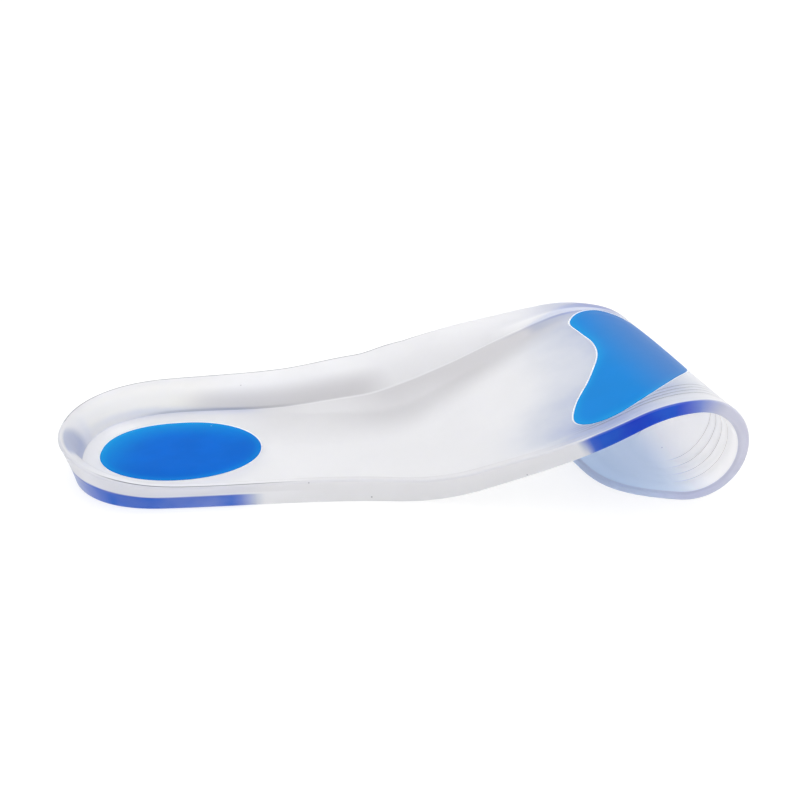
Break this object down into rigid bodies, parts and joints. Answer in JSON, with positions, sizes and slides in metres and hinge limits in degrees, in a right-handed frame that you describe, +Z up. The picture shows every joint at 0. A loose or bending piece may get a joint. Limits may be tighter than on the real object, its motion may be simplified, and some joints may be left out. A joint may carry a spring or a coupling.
{
  "type": "silicone insole",
  "caption": "Right-foot silicone insole with a raised heel cup, an arch wall and inset gel pads, lying on its sole with the forefoot rolled under.",
  "frame": {"origin": "on the surface that the insole rests on, under the middle of its box", "axes": "+X from the heel towards the toe, +Y towards the arch side, +Z up from the sole"},
  "size_m": [0.1978, 0.0842, 0.0361],
  "materials": {
    "clear_silicone": "smooth, milky and translucent, with a soft gloss",
    "blue_gel": "smooth blue gel with a soft gloss"
  },
  "bodies": {
    "root": {"insole_body": "clear_silicone", "heel_pad": "blue_gel", "forefoot_pad": "blue_gel"}
  },
  "joints": []
}
